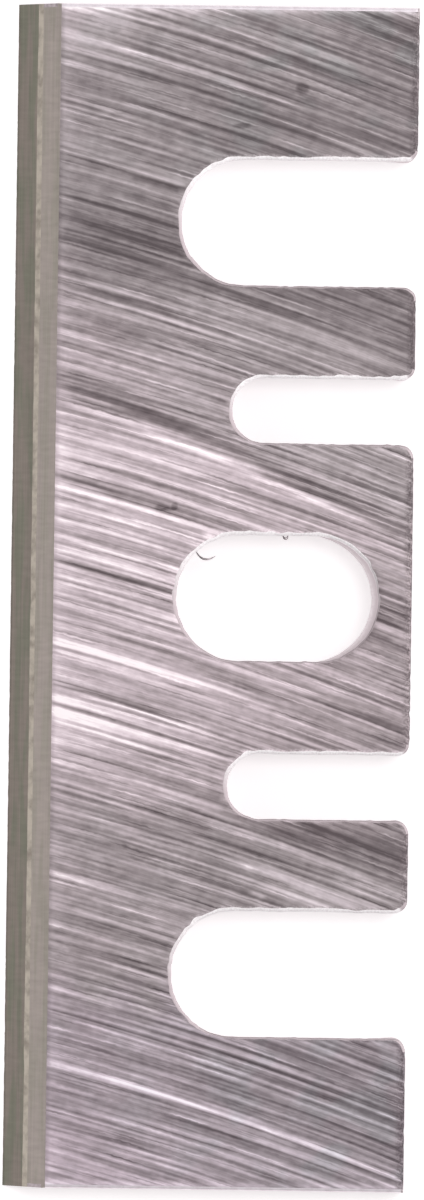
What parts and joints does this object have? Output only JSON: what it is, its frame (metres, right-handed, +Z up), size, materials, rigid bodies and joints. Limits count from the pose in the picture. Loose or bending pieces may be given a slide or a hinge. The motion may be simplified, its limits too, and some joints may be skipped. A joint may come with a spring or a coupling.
{
  "type": "planer knife",
  "caption": "Flat slotted steel knife for a power planer, with a hard steel strip brazed under its ground bevel and round-ended slots for bolts and adjusting screws.",
  "frame": {"origin": "middle of the flat face, at the centre of the knife's length and width", "axes": "+X along the cutting edge, +Y from the cutting edge towards the heel, +Z up from the flat face through the thickness"},
  "size_m": [0.082, 0.0278, 0.003],
  "materials": {
    "body_steel": "coarse ground mild steel with curved grinding lines, purple-grey",
    "edge_steel": "fine ground hard tool steel, darker olive grey",
    "braze": "pale silver-yellow brazing filler, ground flush"
  },
  "bodies": {
    "root": {"knife_body": "body_steel", "cutting_strip": "edge_steel", "braze_seam": "braze"}
  },
  "joints": []
}
